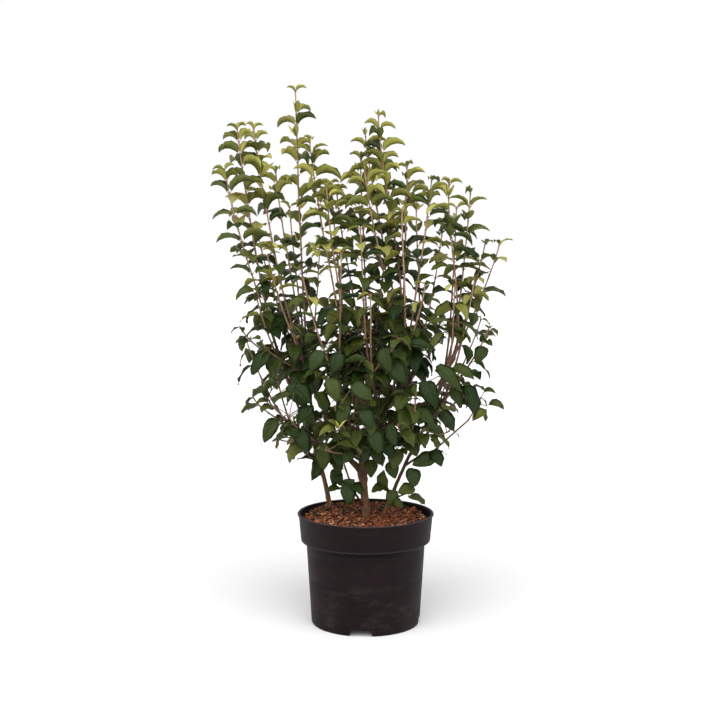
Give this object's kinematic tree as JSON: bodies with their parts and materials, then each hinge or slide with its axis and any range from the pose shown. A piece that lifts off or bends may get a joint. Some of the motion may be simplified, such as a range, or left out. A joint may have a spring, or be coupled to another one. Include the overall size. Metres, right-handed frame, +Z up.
{
  "type": "potted lilac shrub",
  "caption": "Many-stemmed dwarf lilac shrub of upright leafy wands, not in bloom, in a round black nursery pot.",
  "frame": {"origin": "middle of the pot's underside, where its centre foot stands on the ground", "axes": "+Z up through the plant, +X to the right and -Y towards the viewer of the picture"},
  "size_m": [0.6095, 0.5266, 1.1014],
  "materials": {
    "pot_plastic": "matt, lightly scuffed",
    "potting_mix": "loose bark and coir",
    "bark": "rough bark",
    "foliage": "leaves and green twigs, satin"
  },
  "bodies": {
    "root": {"back_centre_wands": "foliage", "back_left_wands": "foliage", "back_right_wands": "foliage", "bough_back": "bark", "bough_back_left": "bark", "bough_back_right": "bark", "bough_centre": "bark", "bough_centre_left": "bark", "bough_centre_right": "bark", "bough_far_right": "bark", "bough_front": "bark", "bough_front_left": "bark", "bough_left": "bark", "bough_low_back": "bark", "bough_low_back_left": "bark", "bough_low_back_right": "bark", "bough_low_front": "bark", "bough_low_front_right": "bark", "bough_low_left": "bark", "bough_low_right": "bark", "bough_right": "bark", "bough_tall_left": "bark", "centre_left_wands": "foliage", "centre_right_wands": "foliage", "centre_spire_wands": "foliage", "far_left_wands": "foliage", "far_right_wands": "foliage", "front_left_wands": "foliage", "front_wands": "foliage", "left_stem": "bark", "left_wands": "foliage", "low_back_left_wands": "foliage", "low_back_right_wands": "foliage", "low_back_wands": "foliage", "low_front_right_wands": "foliage", "low_front_wands": "foliage", "low_left_wands": "foliage", "low_right_wands": "foliage", "low_sprig": "foliage", "low_twig": "foliage", "pot": "pot_plastic", "potting_mix": "potting_mix", "right_stem": "bark", "right_stem_wands": "foliage", "right_wands": "foliage", "tall_left_wands": "foliage", "trunk": "bark"}
  },
  "joints": []
}
